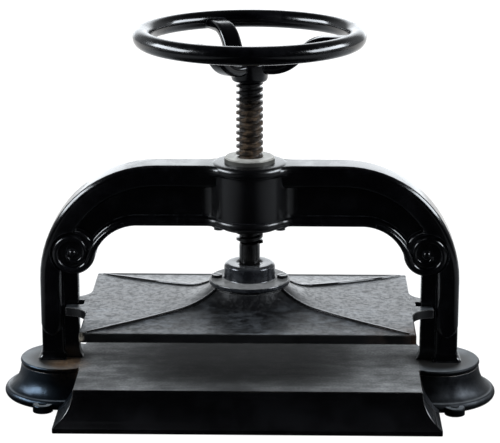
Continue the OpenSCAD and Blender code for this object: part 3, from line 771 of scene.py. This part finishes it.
FLOOR_GREY = (0.5, 0.5, 0.5)
FLOOR_DARK = (0.008, 0.008, 0.009)


# Brushes: small node moves that the finishes are mixed with


def add(tree, kind, **settings):
    """A new node in a tree."""
    node = tree.nodes.new(f"ShaderNode{kind}")
    for key, value in settings.items():
        setattr(node, key, value)
    return node


def fill(tree, socket, value):
    """Gives a socket a number or a colour, or links an output to it."""
    if isinstance(value, float):
        socket.default_value = value
    elif isinstance(value, tuple):
        socket.default_value = (*value, 1.0)
    else:
        tree.links.new(value, socket)


def own_place(tree):
    """The piece's own coordinates, in metres."""
    return add(tree, "TexCoord").outputs["Object"]


def split(tree, vector):
    """A vector's X, Y and Z."""
    node = add(tree, "SeparateXYZ")
    tree.links.new(vector, node.inputs[0])
    return node.outputs


def noise(tree, vector, size, detail, roughness=0.55):
    """Layered noise over a place."""
    node = add(tree, "TexNoise")
    node.inputs["Detail"].default_value = detail
    node.inputs["Roughness"].default_value = roughness
    fill(tree, node.inputs["Scale"], size)
    tree.links.new(vector, node.inputs["Vector"])
    return node.outputs["Fac"]


def stretch(tree, value, low, high, to_low=0.0, to_high=1.0):
    """Maps a value from one span to another, smoothly and clamped."""
    node = add(tree, "MapRange", interpolation_type="SMOOTHSTEP")
    for key, number in (("From Min", low), ("From Max", high), ("To Min", to_low), ("To Max", to_high)):
        fill(tree, node.inputs[key], number)
    tree.links.new(value, node.inputs["Value"])
    return node.outputs["Result"]


def between(tree, mask, none, full):
    """A value that goes from none to full as a mask goes from 0 to 1."""
    return stretch(tree, mask, 0.0, 1.0, none, full)


def sums(tree, operation, a, b=0.0):
    """Arithmetic on one or two values."""
    node = add(tree, "Math", operation=operation)
    for socket, value in zip(node.inputs, (a, b)):
        fill(tree, socket, value)
    return node.outputs[0]


def unsigned(tree, value):
    return sums(tree, "ABSOLUTE", value)


def times(tree, first, *others):
    """Values multiplied together."""
    for value in others:
        first = sums(tree, "MULTIPLY", first, value)
    return first


def mixed(tree, mask, a, b):
    """One colour over another by a mask."""
    node = add(tree, "Mix", data_type="RGBA")
    tree.links.new(mask, node.inputs["Factor"])
    for key, value in (("A", a), ("B", b)):
        fill(tree, [s for s in node.inputs if s.name == key and s.type == "RGBA"][0], value)
    return [s for s in node.outputs if s.type == "RGBA"][0]


def near(tree, place, point, inner, outer):
    """A mask round a point in metres: 1 within the inner radius, 0 past the outer one."""
    apart = add(tree, "VectorMath", operation="DISTANCE")
    tree.links.new(place, apart.inputs[0])
    apart.inputs[1].default_value = point
    return stretch(tree, apart.outputs["Value"], inner, outer, 1.0, 0.0)


def streaks(tree, place, scales):
    """Fine noise drawn out along a direction, by a scale for each axis."""
    along = add(tree, "Mapping")
    along.inputs["Scale"].default_value = scales
    tree.links.new(place, along.inputs["Vector"])
    return noise(tree, along.outputs["Vector"], 1.0, 8.0, 0.66)


def bump(tree, shader, height, strength, distance):
    """A bump whose distance is in millimetres."""
    node = add(tree, "Bump")
    node.inputs["Strength"].default_value = strength
    node.inputs["Distance"].default_value = distance * MM
    tree.links.new(height, node.inputs["Height"])
    tree.links.new(node.outputs["Normal"], shader.inputs["Normal"])


# Shared effects, each a node group that the finishes use with their own values


def group(name, inputs, output):
    """An empty node group with named number inputs and one number output."""
    tree = bpy.data.node_groups.new(name, "ShaderNodeTree")
    for socket, value in inputs.items():
        tree.interface.new_socket(socket, in_out="INPUT", socket_type="NodeSocketFloat").default_value = value
    tree.interface.new_socket(output, in_out="OUTPUT", socket_type="NodeSocketFloat")
    inside = tree.nodes.new("NodeGroupInput").outputs
    return tree, inside, tree.nodes.new("NodeGroupOutput").inputs[output]


def make_grain():
    """Sand-cast skin: a fine tooth over slow waves."""
    tree, inside, height = group("casting_grain", {"Tooth": 900.0, "Waves": 60.0}, "Height")
    place = own_place(tree)
    tooth = noise(tree, place, inside["Tooth"], 3.0)
    waves = noise(tree, place, inside["Waves"], 2.0)
    tree.links.new(sums(tree, "ADD", times(tree, tooth, 0.35), waves), height)
    return tree


def make_rub():
    """Where edges are rubbed: the change of normal over a small radius, broken up."""
    tree, inside, mask = group("edge_rub", {"Break": 140.0, "Start": 0.06, "Full": 0.4}, "Mask")
    round_edge = add(tree, "Bevel", samples=6)
    round_edge.inputs["Radius"].default_value = 1.6 * MM
    facing = add(tree, "VectorMath", operation="DOT_PRODUCT")
    tree.links.new(round_edge.outputs["Normal"], facing.inputs[0])
    tree.links.new(add(tree, "NewGeometry").outputs["Normal"], facing.inputs[1])
    edge = stretch(tree, sums(tree, "SUBTRACT", 1.0, facing.outputs["Value"]), 0.0, 0.12)
    broken = noise(tree, own_place(tree), inside["Break"], 5.0, 0.65)
    tree.links.new(stretch(tree, times(tree, edge, broken), inside["Start"], inside["Full"]), mask)
    return tree


def make_mottle():
    """Soft uneven patches."""
    tree, inside, mask = group("mottle", {"Size": 30.0, "Low": 0.4, "High": 0.65}, "Mask")
    patches = noise(tree, own_place(tree), inside["Size"], 6.0, 0.62)
    tree.links.new(stretch(tree, patches, inside["Low"], inside["High"]), mask)
    return tree


def make_upward():
    """How far a face looks up: 1 on a level top, 0 on a wall."""
    tree, inside, mask = group("upward", {"From": 0.5, "To": 0.95}, "Mask")
    up = split(tree, add(tree, "NewGeometry").outputs["Normal"])["Z"]
    tree.links.new(stretch(tree, up, inside["From"], inside["To"]), mask)
    return tree


GRAIN, RUB, MOTTLE, UPWARD = make_grain(), make_rub(), make_mottle(), make_upward()


def use(tree, shared, **values):
    """Places a shared effect in a finish, with its own values, and returns its output."""
    node = add(tree, "Group", node_tree=shared)
    for key, value in values.items():
        node.inputs[key].default_value = value
    return node.outputs[0]


# Finishes, with places in metres in a piece's own coordinates


def finish(name, metallic=0.0):
    """A new material: itself, its tree and its shader."""
    material = bpy.data.materials.new(name)
    material.use_nodes = True
    tree = material.node_tree
    shader = tree.nodes["Principled BSDF"]
    shader.inputs["Metallic"].default_value = metallic
    return material, tree, shader


def black_enamel(name, gloss, dulled):
    """Black paint on a casting, dulled in patches and on the boss, and rubbed at the edges."""
    material, tree, shader = finish(name)
    patches = use(tree, MOTTLE, Size=38.0, Low=0.42, High=0.7)
    rub = use(tree, RUB, Break=160.0, Start=0.3, Full=0.75)
    colour = mixed(tree, rub, mixed(tree, patches, *ENAMEL_BLACK), ENAMEL_RUBBED)
    tree.links.new(colour, shader.inputs["Base Color"])
    boss_middle = (0.0, 0.0, 0.197)
    on_boss = near(tree, own_place(tree), boss_middle, 0.05, 0.075)
    rough = sums(tree, "MAXIMUM", between(tree, patches, gloss, dulled), times(tree, on_boss, 0.27))
    tree.links.new(rough, shader.inputs["Roughness"])
    bump(tree, shader, use(tree, GRAIN, Tooth=700.0, Waves=70.0), 0.08, 0.4)
    return material


def bed_paint():
    """The base's paint: black sides, a bed worn grey and streaked and paler at its ends and front partly by
    painted light, painted shadow with some dirt round each foot, and bells rubbed to blue and grey iron.
    """
    material, tree, shader = finish("bed_paint")
    place = own_place(tree)
    axis = split(tree, place)
    across = unsigned(tree, axis["X"])
    patches = use(tree, MOTTLE, Size=26.0, Low=0.38, High=0.7)
    fine = use(tree, MOTTLE, Size=420.0, Low=0.3, High=0.72)
    level = use(tree, UPWARD, From=0.85, To=0.99)
    abreast = stretch(tree, unsigned(tree, axis["Y"]), 0.062, 0.07, 1.0, 0.0)
    on_pedestal = times(tree, stretch(tree, across, 0.157, 0.164), abreast)

    right = stretch(tree, axis["X"], 0.1, 0.15)
    bell = mixed(tree, right, mixed(tree, patches, *BLUE_BELL), mixed(tree, patches, *GREY_BELL))
    sides = mixed(tree, on_pedestal, mixed(tree, patches, *SKIRT_BLACK), bell)

    streak = stretch(tree, streaks(tree, place, (30.0, 110.0, 110.0)), 0.3, 0.72, 0.4, 1.0)
    cloud = use(tree, MOTTLE, Size=15.0, Low=0.32, High=0.68)
    # Paler towards the bed's ends and along its front edge: partly dust, partly painted light where the lamps
    # reach the bed past the platen.
    lit_and_dusty_ends = stretch(tree, across, 0.02, 0.14, 0.2, 0.62)
    lit_and_dusty_front = stretch(tree, axis["Y"], -0.094, -0.066, 0.09, 0.0)
    dust_and_light = times(tree, sums(tree, "ADD", lit_and_dusty_ends, lit_and_dusty_front), between(tree, cloud, 0.2, 1.08))
    speckled = times(tree, streak, between(tree, fine, 0.65, 1.1))
    bed = mixed(tree, times(tree, dust_and_light, speckled), *BED_GREY)
    worn_top = mixed(tree, on_pedestal, bed, mixed(tree, patches, *PAD_GREY))

    # A dark ring round each foot: painted contact shadow of the leg, with some dirt.
    either_foot = add(tree, "CombineXYZ")
    tree.links.new(across, either_foot.inputs["X"])
    tree.links.new(axis["Y"], either_foot.inputs["Y"])
    foot_shadow_and_dirt = near(tree, either_foot.outputs["Vector"], (0.181, -0.006, 0.0), 0.02, 0.036)
    painted = mixed(tree, level, sides, mixed(tree, foot_shadow_and_dirt, worn_top, FOOT_SHADOW_AND_DIRT))
    left_foot = near(tree, place, (-0.17, -0.026, BASE_H * MM), 0.006, 0.026)
    rusty = times(tree, left_foot, between(tree, fine, 0.25, 0.9))
    rusted = mixed(tree, rusty, painted, mixed(tree, patches, *FOOT_RUST))
    above_foot = stretch(tree, axis["Z"], 0.014, 0.03)
    rub = times(tree, use(tree, RUB, Break=130.0, Start=0.14, Full=0.5), above_foot)
    colour = mixed(tree, rub, rusted, mixed(tree, patches, *BASE_RUBBED))
    tree.links.new(colour, shader.inputs["Base Color"])

    dull_top = times(tree, level, between(tree, on_pedestal, 1.0, 0.45))
    dull_bell = times(tree, on_pedestal, between(tree, right, 0.2, 0.48))
    rough = between(tree, sums(tree, "MAXIMUM", dull_top, dull_bell), 0.24, 0.8)
    tree.links.new(rough, shader.inputs["Roughness"])
    bare_bell = times(tree, on_pedestal, stretch(tree, level, 0.0, 0.4, 1.0, 0.0))
    tree.links.new(bare_bell, shader.inputs["Metallic"])
    coarse = between(tree, bare_bell, 1.0, 2.2)
    bump(tree, shader, times(tree, use(tree, GRAIN, Tooth=500.0, Waves=150.0), coarse), 0.24, 0.4)
    return material


def platen_paint():
    """The platen's paint: worn thin and grey on its panels and black along its back edge; its ribs are black,
    partly their own paint and partly painted shade, and painted shade darkens its front panel and the ground
    round its hub.
    """
    material, tree, shader = finish("platen_paint")
    place = own_place(tree)
    axis = split(tree, place)
    patches = use(tree, MOTTLE, Size=34.0, Low=0.35, High=0.68)
    fine = use(tree, MOTTLE, Size=260.0, Low=0.36, High=0.64)
    streak = stretch(tree, streaks(tree, place, (90.0, 160.0, 160.0)), 0.36, 0.66)

    slope = math.atan2(PLATEN_D, PLATEN_W)
    over = times(tree, unsigned(tree, axis["X"]), math.sin(slope))
    along = times(tree, unsigned(tree, axis["Y"]), math.cos(slope))
    from_rib = unsigned(tree, sums(tree, "SUBTRACT", over, along))
    # Black along the ribs: partly their unworn paint, partly painted shade for a rib's shaded side.
    clear_of_ribs = stretch(tree, from_rib, 0.002, 0.0034, 0.06, 1.0)
    clear_of_back = stretch(tree, axis["Y"], 0.087, 0.0905, 1.0, 0.0)
    # Darker towards the front edge, where the panel tilts away from the light: painted shade.
    clear_of_front = stretch(tree, axis["Y"], -0.095, -0.03, 0.7, 1.0)
    on_panel = times(tree, clear_of_back, clear_of_front, clear_of_ribs)
    # Darker round the hub, under the cap: painted shade.
    by_hub = near(tree, place, (0.0, 0.0, 0.09), 0.045, 0.12)
    level = use(tree, UPWARD, From=0.8, To=0.97)
    # Where the panels show pale wear, held back by the painted shade along the ribs, at the front and round
    # the hub.
    worn = times(tree, level, on_panel, between(tree, by_hub, 1.0, 0.3), between(tree, patches, 0.45, 1.0))
    panels = mixed(tree, worn, mixed(tree, patches, *PLATEN_BLACK), mixed(tree, streak, *PLATEN_WORN))

    brown_end = near(tree, place, (0.14, -0.097, 0.085), 0.01, 0.04)
    brown = mixed(tree, times(tree, brown_end, patches), panels, PLATEN_BROWN)
    corner = near(tree, place, (-PLATEN_W / 2 * MM, -PLATEN_D / 2 * MM, 0.086), 0.0015, 0.006)
    chipped = mixed(tree, times(tree, corner, fine), brown, PLATEN_CHIP)
    rub = use(tree, RUB, Break=150.0, Start=0.2, Full=0.55)
    # Rubbed edges are kept off the ribs, so that their painted shade stays black.
    off_ribs = times(tree, rub, stretch(tree, from_rib, 0.003, 0.006, 0.15, 1.0))
    tree.links.new(mixed(tree, off_ribs, chipped, PLATEN_RUBBED), shader.inputs["Base Color"])

    rough_panels = between(tree, times(tree, on_panel, between(tree, fine, 1.0, 0.55)), 0.62, 0.3)
    glossy_ribs = stretch(tree, from_rib, 0.0022, 0.0034, 0.16, 0.7)
    tree.links.new(sums(tree, "MINIMUM", rough_panels, glossy_ribs), shader.inputs["Roughness"])
    bump(tree, shader, use(tree, GRAIN, Tooth=420.0, Waves=160.0), 0.16, 0.35)
    return material


def cap_iron():
    """The cap's turned iron: dark and glossy on its collar, dusty and pale on its flange."""
    material, tree, shader = finish("cap_iron")
    patches = use(tree, MOTTLE, Size=110.0, Low=0.36, High=0.7)
    on_flange = stretch(tree, split(tree, own_place(tree))["Z"], 0.117, 0.121, 1.0, 0.15)
    level = use(tree, UPWARD, From=0.35, To=0.9)
    dusty = times(tree, level, on_flange, between(tree, patches, 0.65, 1.0))
    colour = mixed(tree, dusty, mixed(tree, patches, *CAP_BLACK), CAP_DUST)
    tree.links.new(colour, shader.inputs["Base Color"])
    tree.links.new(between(tree, dusty, 0.18, 0.5), shader.inputs["Roughness"])
    tree.links.new(stretch(tree, dusty, 0.0, 0.6, 0.5, 0.05), shader.inputs["Metallic"])
    bump(tree, shader, use(tree, GRAIN, Tooth=900.0, Waves=120.0), 0.1, 0.3)
    return material


def dark_iron():
    """Bare dark iron with a satin sheen, paler at its edges."""
    material, tree, shader = finish("dark_iron")
    patches = use(tree, MOTTLE, Size=90.0, Low=0.4, High=0.68)
    rub = use(tree, RUB, Break=220.0, Start=0.12, Full=0.5)
    colour = mixed(tree, rub, mixed(tree, patches, *DARK_IRON), IRON_RUBBED)
    tree.links.new(colour, shader.inputs["Base Color"])
    tree.links.new(between(tree, patches, 0.26, 0.42), shader.inputs["Roughness"])
    bump(tree, shader, use(tree, GRAIN, Tooth=900.0, Waves=120.0), 0.12, 0.3)
    return material


def screw_iron():
    """The screw: oily black above and on the neck, brown rust on the middle of the thread."""
    material, tree, shader = finish("screw_iron", 0.3)
    patches = use(tree, MOTTLE, Size=160.0, Low=0.38, High=0.68)
    height = split(tree, own_place(tree))["Z"]
    above_nut = stretch(tree, height, 0.205, 0.235)
    below_wheel = stretch(tree, height, 0.27, 0.295, 1.0, 0.0)
    rusty = times(tree, above_nut, below_wheel, between(tree, patches, 0.45, 1.0))
    colour = mixed(tree, rusty, mixed(tree, patches, *OILY_BLACK), mixed(tree, patches, *THREAD_RUST))
    tree.links.new(colour, shader.inputs["Base Color"])
    tree.links.new(between(tree, rusty, 0.2, 0.7), shader.inputs["Roughness"])
    bump(tree, shader, use(tree, GRAIN, Tooth=1200.0, Waves=200.0), 0.18, 0.3)
    return material


def pale_bronze():
    """The nut's dull pale bronze, darker on its sides by grime and painted shade, with black paint on its
    flange under the boss.
    """
    material, tree, shader = finish("pale_bronze", 0.25)
    patches = use(tree, MOTTLE, Size=120.0, Low=0.35, High=0.7)
    level = use(tree, UPWARD, From=0.4, To=0.9)
    # Bronze on the level top, darker sides: partly grime, partly painted shade.
    rubbed = mixed(tree, level, NUT_GRIME_AND_SHADE, mixed(tree, patches, *NUT_BRONZE))
    above_flange = stretch(tree, split(tree, own_place(tree))["Z"], 0.17, 0.2)
    tree.links.new(mixed(tree, above_flange, NUT_PAINT, rubbed), shader.inputs["Base Color"])
    tree.links.new(between(tree, patches, 0.35, 0.55), shader.inputs["Roughness"])
    bump(tree, shader, use(tree, GRAIN, Tooth=900.0, Waves=160.0), 0.12, 0.3)
    return material


def plain_steel():
    """Turned steel on the hidden fastenings."""
    material, tree, shader = finish("plain_steel", 1.0)
    patches = use(tree, MOTTLE, Size=200.0, Low=0.35, High=0.7)
    tree.links.new(mixed(tree, patches, *TURNED_STEEL), shader.inputs["Base Color"])
    tree.links.new(between(tree, patches, 0.3, 0.5), shader.inputs["Roughness"])
    bump(tree, shader, use(tree, GRAIN, Tooth=1500.0, Waves=300.0), 0.08, 0.2)
    return material


ENAMEL, RIM = black_enamel("black_enamel", 0.15, 0.26), black_enamel("wheel_enamel", 0.15, 0.25)
BED, PLATEN, IRON = bed_paint(), platen_paint(), dark_iron()
CAP, THREAD, BRONZE, STEEL = cap_iron(), screw_iron(), pale_bronze(), plain_steel()

for piece, material, body, slot, node in (
    (wheel, RIM, "screw", "black_paint", "handwheel"),
    (screw_shaft, THREAD, "screw", "screw_steel", "press_screw"),
    (arch, ENAMEL, "frame", "black_paint", "arch_casting"),
    (base, BED, "frame", "worn_black", "base_casting"),
    (plate, PLATEN, "platen", "platen_grey", "platen"),
    (cap, CAP, "platen", "worn_black", "retaining_cap"),
):
    piece.data.materials.clear()
    piece.data.materials.append(material)
    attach(piece, body)
    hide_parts(node)

leg_fastenings = [f"arch_{kind}_{side}" for kind in ("stud", "washer", "nut") for side in ("left", "right")]
for material, names in (
    (BRONZE, ["screw_nut"]),
    (IRON, ["nut_screw_left", "nut_screw_right", "wheel_nut"]),
    (ENAMEL, ["cap_screw_left", "cap_screw_right"]),
    (STEEL, ["wheel_washer", "thrust_disc", "thrust_collar", "collar_pin"] + leg_fastenings),
):
    for name in names:
        nodes[name].material_slots[0].material = material


# Studio


def make_floor():
    """A white floor that keeps the shadow, and that glossy paint mirrors dark in front and white behind."""
    let_go()
    bpy.ops.mesh.primitive_plane_add(size=8, location=(0, 0, -0.0002))
    floor = bpy.context.active_object
    floor.name = floor.data.name = "studio_floor"
    material, tree, shader = finish("studio_white")
    shader.inputs["Roughness"].default_value = 0.9
    shader.inputs["Specular IOR Level"].default_value = 0.0
    glow = add(tree, "Emission")
    glow.inputs["Strength"].default_value = 1.2
    ray = add(tree, "LightPath").outputs
    place = own_place(tree)
    axis = split(tree, place)
    not_aside = stretch(tree, unsigned(tree, axis["X"]), 0.26, 0.5, 1.0, 0.62)
    in_front = times(tree, stretch(tree, axis["Y"], -0.1, 0.4, 1.0, 0.0), not_aside)
    dark = times(tree, in_front, ray["Is Glossy Ray"])
    tree.links.new(mixed(tree, dark, FLOOR_GREY, FLOOR_DARK), shader.inputs["Base Color"])
    behind = times(tree, stretch(tree, axis["Y"], 0.3, 0.7), ray["Is Glossy Ray"])
    lit = sums(tree, "MAXIMUM", ray["Is Camera Ray"], behind)
    cover = between(tree, near(tree, place, (0.0, 0.0, 0.0), 0.35, 1.0), 1.0, 0.78)
    blend = add(tree, "MixShader")
    tree.links.new(times(tree, lit, cover), blend.inputs["Fac"])
    tree.links.new(shader.outputs["BSDF"], blend.inputs[1])
    tree.links.new(glow.outputs["Emission"], blend.inputs[2])
    tree.links.new(blend.outputs["Shader"], tree.nodes["Material Output"].inputs["Surface"])
    floor.data.materials.append(material)


def make_world():
    """A bright white sweep low behind the press, dim blue-grey at its sides and a dark room in front."""
    world = bpy.data.worlds.new("studio")
    bpy.context.scene.world = world
    world.use_nodes = True
    tree = world.node_tree
    sky = tree.nodes["Background"]
    way = split(tree, add(tree, "TexCoord").outputs["Generated"])
    sweep = stretch(tree, way["Y"], 0.84, 0.975, 0.0, 2.35)
    low = stretch(tree, way["Z"], 0.3, 0.8, 1.0, 0.1)
    sides = times(tree, stretch(tree, way["Y"], -0.6, 0.35, 0.01, 0.45), low)
    backdrop = times(tree, add(tree, "LightPath").outputs["Is Camera Ray"], 1.2)
    strength = sums(tree, "MAXIMUM", sums(tree, "ADD", sweep, sides), backdrop)
    tree.links.new(strength, sky.inputs["Strength"])
    sky.inputs["Color"].default_value = (0.92, 0.96, 1.0, 1)


def stood(name, data, place, aim):
    """A lamp or camera set up at a place and aimed at a point, in metres."""
    holder = bpy.data.objects.new(name, data)
    holder.location = place
    holder.rotation_euler = (Vector(aim) - Vector(place)).to_track_quat("-Z", "Y").to_euler()
    bpy.context.scene.collection.objects.link(holder)
    return holder


def lamp(name, place, aim, size, power, mirrored=True):
    """A soft rectangular lamp, which glossy paint may be kept from mirroring."""
    light = bpy.data.lights.new(name, "AREA")
    light.shape = "RECTANGLE"
    light.size, light.size_y = size
    light.energy = power
    light.color = (0.88, 0.94, 1.0)
    stood(name, light, place, aim).visible_glossy = mirrored


def make_camera():
    """The photograph's view: its place, aim and lens."""
    data = bpy.data.cameras.new("camera")
    data.sensor_fit = "HORIZONTAL"
    data.sensor_width, data.lens = 36, 146.16
    bpy.context.scene.camera = stood("camera", data, (0.0388, -1.833, 0.6705), (0.00036, 0, 0.1696))


make_floor()
make_world()
make_camera()
for name, side in (("left_softbox", -1), ("right_softbox", 1)):
    lamp(name, (1.25 * side, -0.1, 0.85), (0, 0, 0.2), (1.1, 0.5), 30)
lamp("front_fill", (0, -1.1, 1.7), (0, 0, 0.1), (1.6, 1.2), 18, mirrored=False)
bpy.context.scene.view_settings.view_transform = "Standard"
